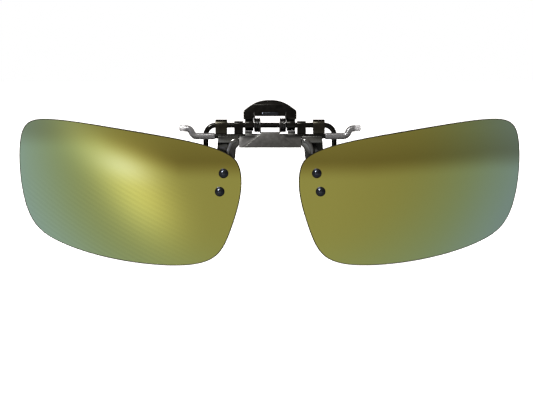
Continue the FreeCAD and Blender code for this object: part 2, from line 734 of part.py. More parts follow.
def rivet_row():
    """The four rivets, with a clear bush in the lens and a washer between lens and bracket."""
    groups = {"lens_rivets": [], "lens_bushes": [], "lens_washers": []}
    front_radius = "Dims.lens_curve_radius"
    back_radius = "(Dims.lens_curve_radius - Dims.lens_thickness)"
    bracket_front = f"(-({BRACKET_FRONT}))"
    bracket_back = f"({bracket_front} + Dims.bracket_sheet)"
    for name, side in SIDES.items():
        for place, (x, z) in rivet_places(side).items():
            tag = f"{place}_{name}"
            head = lens_surface(x, z, front_radius, "-Dims.rivet_head_radius")
            head = f"({head} - Dims.seat_gap)"
            back = lens_surface(x, z, back_radius, "Dims.washer_radius")
            back = f"({back} + Dims.seat_gap)"
            shank = round_along_y(f"shank_{tag}", x, z, head, f"{bracket_back} - {head}",
                                  "Dims.rivet_radius")
            tail = round_along_y(f"tail_{tag}", x, z, f"{bracket_back} + Dims.seat_gap",
                                 "Dims.rivet_tail_height", "Dims.rivet_tail_radius")
            neck = round_along_y(f"neck_{tag}", x, z, bracket_back,
                                 "Dims.rivet_tail_height", "Dims.rivet_radius")
            rivet = doc.addObject("Part::MultiFuse", f"rivet_{tag}")
            rivet.Shapes = [rivet_head(tag, x, z, head), shank, neck, tail]
            groups["lens_rivets"].append(rivet)
            groups["lens_bushes"].append(ring_along_y(
                f"bush_{tag}", x, z, f"{head} + Dims.seat_gap", f"{back} - {head} - 3 * Dims.seat_gap",
                "Dims.bush_radius"))
            groups["lens_washers"].append(ring_along_y(
                f"washer_{tag}", x, z, back, f"{bracket_front} - {back} - Dims.seat_gap",
                "Dims.washer_radius"))
    for node, solids in groups.items():
        group = doc.addObject("Part::Compound", f"{node}_group")
        group.Links = solids
        keep(node, group)


def rivet_head(tag, x, z, base):
    """Domed head: a cap of a sphere that stands on base and faces -Y."""
    ball = "((Dims.rivet_head_radius^2 + Dims.rivet_head_height^2) / (2 * Dims.rivet_head_height))"
    dome = doc.addObject("Part::Sphere", f"dome_{tag}")
    dome.Placement = Placement(Vector(0, 0, 0), Rotation(Vector(1, 0, 0), 90))
    dome.setExpression("Radius", ball)
    dome.setExpression("Angle1", f"asin(1 - Dims.rivet_head_height / {ball})")
    dome.setExpression(".Placement.Base.x", x)
    dome.setExpression(".Placement.Base.y", f"{base} + {ball} - Dims.rivet_head_height")
    dome.setExpression(".Placement.Base.z", z)
    return dome


def ring_along_y(name, x, z, front, length, radius):
    """A tube around a rivet's shank."""
    outside = round_along_y(f"{name}_outside", x, z, front, length, radius)
    hole_radius = "Dims.rivet_radius + Dims.seat_gap"
    inside = round_along_y(f"{name}_inside", x, z, front, length, hole_radius)
    ring = doc.addObject("Part::Cut", name)
    ring.Base = outside
    ring.Tool = inside
    return ring


# ---------------------------------------------------------------- build, check and write

rear_claw_wire()
front_claw_wire()
thumb_tab()
torsion_spring()
flip_plate()
rivet_row()
for side_name, sign_of_x in SIDES.items():
    rear_sleeve(side_name, sign_of_x)
    front_sleeve(side_name, sign_of_x)
    link("inner", side_name, sign_of_x)
    link("outer", side_name, sign_of_x)
    lens_bracket(side_name, sign_of_x)
    lens(side_name, sign_of_x)
doc.recompute()

for thing in doc.Objects:
    if "Invalid" in thing.State or "Error" in thing.State:
        raise RuntimeError(f"{thing.Name} did not compute: {thing.State}")

os.makedirs("parts", exist_ok=True)
for node, feature in kept.items():
    shape = feature.Shape
    if shape.isNull() or not shape.isValid() or not shape.Solids:
        raise RuntimeError(f"{node} has no valid solid")
    shape.exportStep(f"parts/{node}.step")
    box = shape.BoundBox
    print(f"{node:20s} solids {len(shape.Solids)}  volume {shape.Volume:9.3f} mm3"
          f"  x {box.XMin:7.2f} {box.XMax:7.2f}  y {box.YMin:6.2f} {box.YMax:6.2f}"
          f"  z {box.ZMin:7.2f} {box.ZMax:6.2f}")
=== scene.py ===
"""Looks of the clip-on flip lenses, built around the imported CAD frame.

Shapes are worked out in millimetres, names ending in _MM, and given to Blender in metres.
"""

import json
import math

import bmesh
import bpy
import numpy as np
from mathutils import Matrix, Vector

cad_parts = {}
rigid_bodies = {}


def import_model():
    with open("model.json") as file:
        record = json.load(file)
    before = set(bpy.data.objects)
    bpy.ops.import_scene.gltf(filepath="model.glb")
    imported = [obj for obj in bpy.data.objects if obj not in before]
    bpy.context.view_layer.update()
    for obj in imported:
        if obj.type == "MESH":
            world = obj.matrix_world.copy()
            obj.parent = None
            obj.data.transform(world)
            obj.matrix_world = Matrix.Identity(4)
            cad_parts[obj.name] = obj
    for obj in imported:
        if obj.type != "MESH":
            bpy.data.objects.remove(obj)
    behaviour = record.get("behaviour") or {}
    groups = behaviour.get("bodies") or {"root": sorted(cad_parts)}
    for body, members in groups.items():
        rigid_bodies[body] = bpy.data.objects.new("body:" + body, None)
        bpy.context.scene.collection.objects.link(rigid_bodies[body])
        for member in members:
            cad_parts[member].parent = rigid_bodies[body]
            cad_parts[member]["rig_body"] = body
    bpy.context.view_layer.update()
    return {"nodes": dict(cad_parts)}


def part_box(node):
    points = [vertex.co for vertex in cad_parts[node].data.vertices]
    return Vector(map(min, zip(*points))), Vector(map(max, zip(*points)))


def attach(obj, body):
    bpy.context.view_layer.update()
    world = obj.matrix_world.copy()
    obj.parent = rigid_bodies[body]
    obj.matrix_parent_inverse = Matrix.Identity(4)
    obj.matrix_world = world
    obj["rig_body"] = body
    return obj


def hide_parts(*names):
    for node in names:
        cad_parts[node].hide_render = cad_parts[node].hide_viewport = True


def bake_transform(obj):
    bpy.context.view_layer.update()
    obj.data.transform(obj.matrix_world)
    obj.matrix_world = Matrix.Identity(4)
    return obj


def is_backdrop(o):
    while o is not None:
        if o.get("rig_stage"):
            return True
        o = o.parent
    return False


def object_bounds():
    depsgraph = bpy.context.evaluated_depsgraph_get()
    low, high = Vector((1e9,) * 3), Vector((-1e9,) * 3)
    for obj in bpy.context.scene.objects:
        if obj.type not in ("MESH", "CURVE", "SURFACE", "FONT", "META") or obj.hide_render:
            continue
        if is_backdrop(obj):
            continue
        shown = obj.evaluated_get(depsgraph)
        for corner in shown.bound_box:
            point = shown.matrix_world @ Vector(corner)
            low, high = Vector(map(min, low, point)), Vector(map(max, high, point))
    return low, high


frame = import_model()

MM = 0.001
SIDES = {"left": -1, "right": 1}

# The front claw wire lies forward of and below the hinge shaft, whose axis is the X axis.
CLAW_FORWARD_MM = 1.80
CLAW_DROP_MM = 2.90
CLAW_RADIUS_MM = 0.65
SHAFT_RADIUS_MM = 0.70

# Half of the front claw wire from its straight middle out to its tip, and one leg of the rear one.
ARM_MM = {"start": 14.90, "reach": 20.60, "out": 1.00, "rise": 2.00, "tip_out": 1.30,
          "tip_rise": 0.10, "lean": 0.50, "bend": 1.40, "spare": 1.50}
PRONG_MM = {"start": 6.50, "reach": 17.40, "straight": 10.50, "length": 14.50, "lead_in": 1.60,
            "splay": 0.50, "bend": 2.70, "spare": 0.60}


# ------------------------------------------------------------------ node-tree helpers


class Nodes:
    """A small builder for one node tree."""

    def __init__(self, tree):
        self.tree = tree

    def add(self, kind, inputs=None, **settings):
        """A node of this kind, its settings set and its inputs filled with values or sockets."""
        node = self.tree.nodes.new(f"ShaderNode{kind}")
        for key, value in settings.items():
            setattr(node, key, value)
        for key, value in (inputs or {}).items():
            self.feed(node.inputs[key], value)
        return node

    def feed(self, socket, value):
        if isinstance(value, bpy.types.NodeSocket):
            self.tree.links.new(value, socket)
        elif isinstance(value, tuple) and socket.type == "RGBA":
            socket.default_value = (*value, 1)
        else:
            socket.default_value = value

    def place(self):
        return self.add("TexCoord").outputs["Object"]

    def stretched(self, scale, turn=(0, 0, 0)):
        inputs = {"Vector": self.place(), "Scale": scale, "Rotation": turn}
        return self.add("Mapping", inputs).outputs["Vector"]

    def noise(self, scale, detail=4.0, roughness=0.6, vector=None):
        inputs = {"Scale": scale, "Detail": detail, "Roughness": roughness}
        inputs["Vector"] = vector or self.place()
        return self.add("TexNoise", inputs).outputs["Fac"]

    def math(self, operation, *values):
        node = self.add("Math", operation=operation)
        for socket, value in zip(node.inputs, values):
            self.feed(socket, value)
        return node.outputs["Value"]

    def spread(self, value, low, high, start=0.0, end=1.0, smooth=False):
        """value, mapped from low..high to start..end and clamped."""
        inputs = {"Value": value, "From Min": low, "From Max": high, "To Min": start, "To Max": end}
        kind = "SMOOTHSTEP" if smooth else "LINEAR"
        return self.add("MapRange", inputs, interpolation_type=kind).outputs["Result"]

    def ramp(self, value, stops, interpolation):
        node = self.add("ValToRGB", {"Fac": value})
        ramp = node.color_ramp
        ramp.interpolation = interpolation
        while len(ramp.elements) < len(stops):
            ramp.elements.new(0.5)
        for element, (position, colour) in zip(ramp.elements, stops):
            element.position = position
            element.color = (*colour, 1)
        return node.outputs["Color"]

    def mix(self, amount, first, second):
        node = self.add("Mix", data_type="RGBA")
        self.feed(node.inputs[0], amount)
        self.feed(node.inputs[6], first)
        self.feed(node.inputs[7], second)
        return node.outputs[2]

    def bump(self, height, distance, strength):
        """distance is the relief's depth in metres."""
        inputs = {"Height": height, "Distance": distance, "Strength": strength}
        return self.add("Bump", inputs).outputs["Normal"]


class Material(Nodes):
    """A material's node tree, with its Principled shader at hand."""

    def __init__(self, name):
        self.material = bpy.data.materials.new(name)
        self.material.use_nodes = True
        super().__init__(self.material.node_tree)
        self.shader = self.tree.nodes["Principled BSDF"]

    def set(self, **values):
        """Fills the shader's inputs; an underscore stands for a space."""
        for key, value in values.items():
            self.feed(self.shader.inputs[key.replace("_", " ")], value)
        return self.material


# ------------------------------------------------------------------ materials

# Distances from the middle, and heights, over which the flip plate's look turns into the painted
# shade on its curls.
PAINTED_SHADE_ASIDE_MM = (3.60, 4.20)
PAINTED_SHADE_HEIGHT_MM = (-3.50, -CLAW_DROP_MM)


def painted_shade_curl_mask(m):
    """Where shade is painted: 1 on the flip plate's two curls round the front claw wire, 0 on the
    rest of it.
    """
    place = m.add("SeparateXYZ", {"Vector": m.place()}).outputs
    aside = m.spread(m.math("ABSOLUTE", place["X"]), *(edge * MM for edge in PAINTED_SHADE_ASIDE_MM))
    high = m.spread(place["Z"], *(edge * MM for edge in PAINTED_SHADE_HEIGHT_MM))
    return m.math("MULTIPLY", aside, high)


def plated_metal(name, dark, light, roughness, grain, painted_shade_on_curls=1.0):
    """Plated metal: mottled plating, polishing marks along grain, and edges lighter, part wear and
    part painted highlight.

    A curl shade below 1 is painted shade: it darkens the flip plate's curls to that share of the
    light colour.
    """
    m = Material(name)
    cloud = m.noise(900.0, 5.0)
    marks = m.noise(5000.0, 3.0, 0.7, m.stretched(grain))
    # Convex edges lighter: part wear, part painted highlight.
    edge_wear_and_sheen = m.spread(m.add("NewGeometry").outputs["Pointiness"], 0.53, 0.62, 0.0, 0.6)
    base = m.mix(m.spread(cloud, 0.3, 0.7), dark, light)
    edge_wear_and_sheen_colour = tuple(min(1.0, 2.5 * c) for c in light)
    colour = m.mix(edge_wear_and_sheen, base, edge_wear_and_sheen_colour)
    # Painted shade on the flip plate's curls.
    if painted_shade_on_curls < 1.0:
        colour = m.mix(painted_shade_curl_mask(m), colour, tuple(painted_shade_on_curls * c for c in light))
    return m.set(
        Base_Color=colour,
        Metallic=1.0,
        Specular_Tint=(0.35, 0.35, 0.35),
        Roughness=m.spread(marks, 0.25, 0.75, roughness - 0.05, roughness + 0.07),
        Normal=m.bump(marks, 0.000008, 0.3),
    )


def mirror_coat():
    """Thin-film mirror: gold seen square on, then olive, green, teal and violet at a slant."""
    m = Material("mirror_coat")
    geometry = m.add("NewGeometry")
    cosine = m.add("VectorMath", operation="DOT_PRODUCT")
    m.feed(cosine.inputs[0], geometry.outputs["Normal"])
    m.feed(cosine.inputs[1], geometry.outputs["Incoming"])
    facing = m.math("ABSOLUTE", cosine.outputs["Value"])
    slant = m.math("DIVIDE", m.math("ARCCOSINE", facing), math.pi / 2)
    slant = m.math("ADD", slant, m.spread(m.noise(14.0, 2.0), 0.3, 0.7, -0.008, 0.008))
    film = m.ramp(slant, [
        (0.00, (0.250, 0.230, 0.052)),
        (0.13, (0.243, 0.224, 0.050)),
        (0.18, (0.238, 0.226, 0.052)),
        (0.22, (0.230, 0.234, 0.062)),
        (0.26, (0.220, 0.250, 0.085)),
        (0.30, (0.212, 0.268, 0.120)),
        (0.34, (0.212, 0.290, 0.185)),
        (0.38, (0.220, 0.315, 0.250)),
        (0.50, (0.215, 0.280, 0.320)),
        (0.75, (0.300, 0.250, 0.380)),
        (1.00, (0.700, 0.680, 0.720)),
    ], "B_SPLINE")
    streaks = m.noise(700.0, 3.0, 0.6, m.stretched((1, 1, 0.06), (0, math.radians(55), 0)))
    haze = m.noise(120.0, 4.0)
    return m.set(
        Base_Color=film,
        Metallic=1.0,
        Roughness=m.spread(haze, 0.3, 0.7, 0.040, 0.060),
        Normal=m.bump(streaks, 0.000004, 0.06),
    )


def smoke_tint(name, roughness, shine):
    """Back or rim of a lens: dark smoke plastic; shine is the weight of its clear coat."""
    m = Material(name)
    cloud = m.noise(60.0, 3.0)
    return m.set(
        Base_Color=m.mix(cloud, (0.010, 0.009, 0.007), (0.018, 0.016, 0.012)),
        Roughness=m.spread(m.noise(500.0), 0.3, 0.7, roughness, roughness + 0.07),
        IOR=1.45,
        Specular_IOR_Level=shine,
        Coat_Weight=shine,
        Coat_Roughness=0.02,
    )


# A sleeve clears over this length, which starts just before its wire's end.
TUBE_FADE_MM = 0.60


def clear_tube():
    """Soft clear tube: smoky where it grips a wire, clearer at the empty end beyond it."""
    m = Material("clear_tube")
    lines = m.noise(900.0, 3.0, 0.6, m.stretched((0.12, 1, 1)))
    place = m.add("SeparateXYZ", {"Vector": m.place()}).outputs
    arm_end = ARM_MM["reach"] + ARM_MM["out"] + ARM_MM["tip_out"] - TUBE_FADE_MM / 3
    prong_end = PRONG_MM["length"] - TUBE_FADE_MM / 6
    out = m.spread(m.math("ABSOLUTE", place["X"]), arm_end * MM, (arm_end + TUBE_FADE_MM) * MM)
    down = m.spread(place["Z"], -prong_end * MM, -(prong_end + TUBE_FADE_MM) * MM)
    empty = m.math("MAXIMUM", out, down)
    gripped = m.mix(lines, (0.080, 0.080, 0.083), (0.130, 0.130, 0.134))
    return m.set(
        Base_Color=m.mix(empty, gripped, (0.62, 0.62, 0.63)),
        Roughness=m.spread(lines, 0.3, 0.7, 0.20, 0.30),
        IOR=1.40,
        Transmission_Weight=m.spread(empty, 0.0, 1.0, 0.25, 0.65),
        Coat_Weight=0.35,
        Coat_Roughness=0.20,
        Normal=m.bump(lines, 0.000004, 0.1),
    )


def moulded(name, dark, light, roughness, clear=0.0):
    """Small moulded plastic pieces."""
    m = Material(name)
    cloud = m.noise(1200.0, 4.0)
    return m.set(
        Base_Color=m.mix(cloud, dark, light),
        Roughness=m.spread(cloud, 0.3, 0.7, roughness - 0.05, roughness + 0.08),
        Transmission_Weight=clear,
        Normal=m.bump(m.noise(5000.0), 0.00001, 0.3),
    )


def studio_paper():
    """Pale paper that also glows a little to the camera, so that it meets the backdrop."""
    m = Material("studio_paper")
    tooth = m.noise(400.0, 6.0)
    seen = m.add("LightPath").outputs["Is Camera Ray"]
    return m.set(
        Base_Color=m.mix(tooth, (0.88, 0.88, 0.88), (0.92, 0.92, 0.92)),
        Roughness=0.9,
        Specular_IOR_Level=0.1,
        Emission_Color=(1.0, 1.0, 1.0),
        Emission_Strength=m.math("MULTIPLY", seen, 0.5),
        Normal=m.bump(tooth, 0.0001, 0.1),
    )


PLATINGS = {
    "black_nickel": {"dark": (0.006, 0.006, 0.0055), "light": (0.014, 0.0135, 0.012),
                     "roughness": 0.11, "grain": (0.2, 1, 1)},
    "blackened": {"dark": (0.014, 0.013, 0.010), "light": (0.026, 0.024, 0.018),
                  "roughness": 0.20, "grain": (1, 0.3, 1)},
    "rivet_black": {"dark": (0.014, 0.016, 0.019), "light": (0.024, 0.026, 0.031),
                    "roughness": 0.10, "grain": (1, 1, 1)},
    # The flip plate's curls get painted shade, down to 0.3 of its light colour.
    "gunmetal": {"dark": (0.042, 0.041, 0.038), "light": (0.066, 0.065, 0.061),
                 "roughness": 0.42, "grain": (0.15, 1, 1), "painted_shade_on_curls": 0.3},
    "dark_gunmetal": {"dark": (0.024, 0.0245, 0.023), "light": (0.046, 0.0465, 0.043),
                      "roughness": 0.24, "grain": (1, 1, 0.15)},
    # Lighter copy of dark_gunmetal for the brackets' ribs: painted highlight; their lower roughness
    # is real.
    "painted_highlight_gunmetal": {"dark": (0.06, 0.06, 0.058), "light": (0.11, 0.11, 0.105),
                        "roughness": 0.15, "grain": (1, 1, 0.3)},
    "spring_steel": {"dark": (0.012, 0.012, 0.012), "light": (0.045, 0.044, 0.042),
                     "roughness": 0.12, "grain": (1, 1, 1)},
}
LOOKS = {name: plated_metal(name, **plating) for name, plating in PLATINGS.items()}
LOOKS |= {
    "mirror_coat": mirror_coat(),
    "smoke_tint": smoke_tint("smoke_tint", roughness=0.30, shine=0.0),
    "lens_back": smoke_tint("lens_back", roughness=0.05, shine=0.5),
    "clear_tube": clear_tube(),
    "clear_bush": moulded("clear_bush", (0.6, 0.6, 0.6), (0.75, 0.75, 0.75), 0.25, clear=0.7),
    "washer_black": moulded("washer_black", (0.006, 0.006, 0.006), (0.012, 0.012, 0.012), 0.5),
}


# ------------------------------------------------------------------ mesh helpers


def mesh_piece(name, vertices, faces, looks, stands_for):
    """A smooth piece from points in millimetres; looks are material names."""
    mesh = bpy.data.meshes.new(name)
    mesh.from_pydata([tuple(c * MM for c in v) for v in vertices], [], faces)
    mesh.update()
    for look in looks:
        mesh.materials.append(LOOKS[look])
    mesh.polygons.foreach_set("use_smooth", [True] * len(mesh.polygons))
    piece = bpy.data.objects.new(name, mesh)
    bpy.context.scene.collection.objects.link(piece)
    if stands_for:
        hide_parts(stands_for)
    return piece


def rounded_path(corners, bend, step=0.12):
    """Points along a line through the corners, whose bends are arcs of this radius."""
    corners = [np.array(c, float) for c in corners]
    found = [corners[0]]
    for corner, after in zip(corners[1:], corners[2:]):
        back = found[-1] - corner
        back /= np.linalg.norm(back)
        ahead = (after - corner) / np.linalg.norm(after - corner)
        half_angle = math.acos(float(back @ ahead)) / 2
        inward = (back + ahead) / np.linalg.norm(back + ahead)
        centre = corner + inward * bend / math.sin(half_angle)
        start = corner + back * bend / math.tan(half_angle) - centre
        side = np.cross(np.cross(start, back), start)
        side *= -bend / np.linalg.norm(side)
        sweep = math.pi - 2 * half_angle
        for turn in np.linspace(0, sweep, max(3, round(sweep * bend / step) + 1)):
            found.append(centre + start * math.cos(turn) + side * math.sin(turn))
    found.append(corners[-1])
    path = [found[0]]
    for point in found[1:]:
        gap = np.linalg.norm(point - path[-1])
        pieces = max(1, round(gap / (2 * step)))
        path += [path[-1] + (point - path[-1]) * (k / pieces) for k in range(1, pieces)] + [point]
    return np.array(path)


def rings_along(path, radii, sides, flatten=1.0):
    """Circles of points round a path, turned as little as possible from one to the next."""
    heading = np.gradient(path, axis=0)
    heading /= np.linalg.norm(heading, axis=1)[:, None]
    across = np.cross(heading[0], (0.0, 1.0, 0.0))
    if np.linalg.norm(across) < 0.1:
        across = np.cross(heading[0], (0.0, 0.0, 1.0))
    rings = []
    angles = np.linspace(0, 2 * math.pi, sides, endpoint=False)
    for point, ahead, radius in zip(path, heading, radii):
        across = across - ahead * (across @ ahead)
        across /= np.linalg.norm(across)
        upright = np.cross(ahead, across)
        ring = np.outer(np.cos(angles), across) + np.outer(np.sin(angles), upright) * flatten
        rings.append(point + radius * ring)
    return rings


def bridge(count, sides, closed=False):
    """Quads between rings that follow each other; closed also joins the last to the first."""
    faces = []
    for ring in range(count if closed else count - 1):
        here, there = ring * sides, (ring + 1) % count * sides
        for i in range(sides):
            j = (i + 1) % sides
            faces.append((here + i, here + j, there + j, there + i))
    return faces


def rod(name, path, radii, look, stands_for, sides=20, flatten=1.0):
    """A solid round wire along a path, with a radius for each of its points."""
    rings = rings_along(path, radii, sides, flatten)
    faces = bridge(len(rings), sides)
    faces.append(tuple(reversed(range(sides))))
    faces.append(tuple(range((len(rings) - 1) * sides, len(rings) * sides)))
    return mesh_piece(name, np.vstack(rings), faces, [look], stands_for)


def rounded_ends(from_end, radius):
    """A rod's radii where from_end is 0 at either end and 1 or more along its full thickness."""
    growing = radius * np.sqrt(np.clip(from_end * (2 - from_end), 0.02, 1))
    return np.where(from_end >= 1, radius, growing)


WELD_MM = 0.0005
FLAT_ANGLE = math.radians(0.5)
SHARP_ANGLE = math.radians(35)
SHADING_ANGLE = math.radians(40)


def softened(node, look, width_mm):
    """The CAD node again, with its sharp edges rounded off by width_mm."""
    work = bmesh.new()
    work.from_mesh(frame["nodes"][node].data)
    bmesh.ops.remove_doubles(work, verts=work.verts, dist=WELD_MM * MM)
    bmesh.ops.dissolve_limit(work, angle_limit=FLAT_ANGLE, verts=work.verts, edges=work.edges)
    edges = [e for e in work.edges if len(e.link_faces) == 2 and e.calc_face_angle() > SHARP_ANGLE]
    bmesh.ops.bevel(work, geom=edges, offset=width_mm * MM, segments=3, profile=0.5,
                    affect="EDGES", clamp_overlap=False)
    mesh = bpy.data.meshes.new(f"{node}_soft")
    work.to_mesh(mesh)
    work.free()
    mesh.materials.append(LOOKS[look])
    mesh.polygons.foreach_set("use_smooth", [True] * len(mesh.polygons))
    mesh.set_sharp_from_angle(angle=SHADING_ANGLE)
    piece = bpy.data.objects.new(f"{node}_soft", mesh)
    bpy.context.scene.collection.objects.link(piece)
    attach(piece, frame["nodes"][node]["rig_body"])
    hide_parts(node)
    return piece


# ------------------------------------------------------------------ lenses

LENS_CURVE_MM = 130.0
LENS_APEX_MM = (14.0, -4.4, -8.0)
LENS_THICK_MM = 1.1
LENS_LIP_MM = 0.28
# The outline as shares of the lens's box, from the nose outwards and from the bottom up.
LENS_OUTLINE = [
    (0.963, 0.965), (0.998, 0.804), (0.954, 0.327), (0.824, 0.151), (0.593, 0.045),
    (0.295, 0.000), (0.120, 0.063), (0.046, 0.259), (0.002, 0.525), (0.014, 0.701),
    (0.059, 0.771), (0.191, 0.844), (0.546, 0.942), (0.871, 1.000),
]
RIVETS_MM = [(12.55, -12.80), (13.60, -17.75)]
BUSH_MM = 0.98
LENS_AROUND = 288
LENS_RINGS = 26
# Below 1 this brings the rings closer together towards the rim.
RING_CROWDING = 0.9
# The turns, from a face towards the rim, at which the rounding between them has points.
ROUNDING_TURNS = np.linspace(0.15, math.pi / 2 - 0.15, 4)
MIRROR_SLOT, RIM_SLOT, BACK_SLOT = 0, 1, 2


def box_mm(node):
    """The lowest and highest corner of a CAD node's box."""
    low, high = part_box(node)
    return np.array(low) / MM, np.array(high) / MM


def smooth_loop(points, count):
    """count points along the closed cubic spline through points, which the CAD outline also is."""
    points = np.array(points, float)
    size = len(points)
    steps = np.sqrt(np.linalg.norm(np.roll(points, -1, 0) - points, axis=1))
    knots = np.concatenate([[0.0], np.cumsum(steps)])
    before = np.roll(steps, 1)
    system = np.zeros((size, size))
    for i in range(size):
        system[i, i - 1] += before[i]
        system[i, i] += 2 * (before[i] + steps[i])
        system[i, (i + 1) % size] += steps[i]
    slope = (np.roll(points, -1, 0) - points) / steps[:, None]
    bend = np.linalg.solve(system, 6 * (slope - np.roll(slope, 1, 0)))
    found = []
    for position in np.linspace(0, knots[-1], count, endpoint=False):
        i = int(np.searchsorted(knots, position, "right") - 1)
        j = (i + 1) % size
        left, right, width = position - knots[i], knots[i + 1] - position, steps[i]
        value = bend[i] * right**3 / (6 * width) + bend[j] * left**3 / (6 * width)
        value += (points[i] / width - bend[i] * width / 6) * right
        value += (points[j] / width - bend[j] * width / 6) * left
        found.append(value)
    return np.array(found)


def lens_bow(x, z, depth):
    """y of the lens at x, z (x away from the nose), depth behind its front."""
    apex_x, apex_y, apex_z = LENS_APEX_MM
    far = (x - apex_x) ** 2 + (z - apex_z) ** 2
    return apex_y + LENS_CURVE_MM - math.sqrt((LENS_CURVE_MM - depth) ** 2 - far)


def cut_holes(piece, side):
    """Cuts the rivets' bush holes right through a lens."""
    sides, half_length = 40, 4.0
    angles = np.linspace(0, 2 * math.pi, sides, endpoint=False)
    vertices, faces = [], []
    for x, z in RIVETS_MM:
        first = len(vertices)
        circle = [(side * x + BUSH_MM * math.cos(a), z + BUSH_MM * math.sin(a)) for a in angles]
        for y in (LENS_APEX_MM[1] - half_length, LENS_APEX_MM[1] + half_length):
            vertices += [(across, y, up) for across, up in circle]
        faces += [tuple(first + i for i in face) for face in bridge(2, sides)]
        faces += [tuple(range(first, first + sides))]
        faces += [tuple(reversed(range(first + sides, first + 2 * sides)))]
    cutter = mesh_piece("cutter", vertices, faces, ["mirror_coat", "smoke_tint"], None)
    cutter.data.polygons.foreach_set("material_index", [RIM_SLOT] * len(faces))
    work = bmesh.new()
    work.from_mesh(cutter.data)
    bmesh.ops.recalc_face_normals(work, faces=work.faces)
    work.to_mesh(cutter.data)
    work.free()
    holes = piece.modifiers.new("holes", "BOOLEAN")
    holes.operation = "DIFFERENCE"
    holes.solver = "EXACT"
    holes.object = cutter
    ready = piece.evaluated_get(bpy.context.evaluated_depsgraph_get())
    mesh = bpy.data.meshes.new_from_object(ready)
    piece.modifiers.clear()
    piece.data = mesh
    bpy.data.objects.remove(cutter)


def true_sphere(piece, side):
    """Gives the mirror side and the back the sphere's own normals, so that both shade evenly."""
    mesh = piece.data
    apex = np.array(LENS_APEX_MM) * (side, 1, 1)
    centre = Vector((apex + (0, LENS_CURVE_MM, 0)) * MM)
    normals = [(0.0, 0.0, 0.0)] * len(mesh.loops)
    for face in mesh.polygons:
        if face.material_index == RIM_SLOT:
            continue
        facing = -1 if face.material_index == MIRROR_SLOT else 1
        for loop in face.loop_indices:
            out = centre - mesh.vertices[mesh.loops[loop].vertex_index].co
            normals[loop] = tuple(out.normalized() * facing)
    mesh.normals_split_custom_set(normals)


def lens(name, side):
    """A spherical lens: mirror coat in front, rounded dark rim, smoke back, rivet holes."""
    low, high = box_mm(f"lens_{name}")
    nose, outer = sorted((abs(low[0]), abs(high[0])))
    corner, span = np.array((nose, low[2])), np.array((outer - nose, high[2] - low[2]))
    around = LENS_AROUND
    edge = smooth_loop(corner + np.array(LENS_OUTLINE) * span, around)
    centre = edge.mean(0)
    reach = np.linalg.norm(edge - centre, axis=1)
    lip, thick = LENS_LIP_MM, LENS_THICK_MM
    shares = [(k / LENS_RINGS) ** RING_CROWDING for k in range(1, LENS_RINGS)]
    rounding = [(lip * (1 - math.sin(a)), lip * (1 - math.cos(a))) for a in ROUNDING_TURNS]
    stations = [(share, 0.0, 0.0, MIRROR_SLOT) for share in shares] + [(1.0, lip, 0.0, MIRROR_SLOT)]
    stations += [(1.0, inset, depth, RIM_SLOT) for inset, depth in rounding]
    stations += [(1.0, 0.0, lip, RIM_SLOT), (1.0, 0.0, thick - lip, RIM_SLOT)]
    stations += [(1.0, inset, thick - depth, RIM_SLOT) for inset, depth in reversed(rounding)]
    stations += [(1.0, lip, thick, RIM_SLOT)]
    stations += [(share, 0.0, thick, BACK_SLOT) for share in reversed(shares)]
    vertices = [(side * centre[0], lens_bow(*centre, 0.0), centre[1])]
    for share, inset, depth, _ in stations:
        for point, far in zip(edge, reach):
            x, z = centre + (point - centre) * share * (1 - inset / far)
            vertices.append((side * x, lens_bow(x, z, depth), z))
    vertices.append((side * centre[0], lens_bow(*centre, thick), centre[1]))
    faces = [tuple(i + 1 for i in reversed(face)) for face in bridge(len(stations), around)]
    slots = [stations[1 + k // around][3] for k in range(len(faces))]
    last = 1 + (len(stations) - 1) * around
    for i in range(around):
        j = (i + 1) % around
        faces += [(0, 1 + i, 1 + j), (last + i, len(vertices) - 1, last + j)]
        slots += [MIRROR_SLOT, BACK_SLOT]
    if side < 0:
        faces = [tuple(reversed(face)) for face in faces]
    piece = mesh_piece(f"lens_{name}_shell", vertices, faces,
                       ["mirror_coat", "smoke_tint", "lens_back"], f"lens_{name}")
    piece.data.polygons.foreach_set("material_index", slots)
    cut_holes(piece, side)
    true_sphere(piece, side)
    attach(piece, "lens_frame")


# ------------------------------------------------------------------ torsion spring

SPRING_WIRE_MM = 0.22
COIL_RADIUS_MM = 1.70
COIL_INNER_MM = 2.75
COIL_OUTER_MM = 4.20
COIL_TURNS = 3
COIL_STEPS = 48
FOOT_MM = (0.50, 3.30)
FOOT_STEPS = 10
BAR_LEAN = math.radians(20)
BAR_GAP_MM = 0.01
# A foot's round end: how far past its last point each ring is, and its radius, in wire radii.
FOOT_END = [(0.90, 0.45), (0.75, 0.72), (0.45, 0.92)]


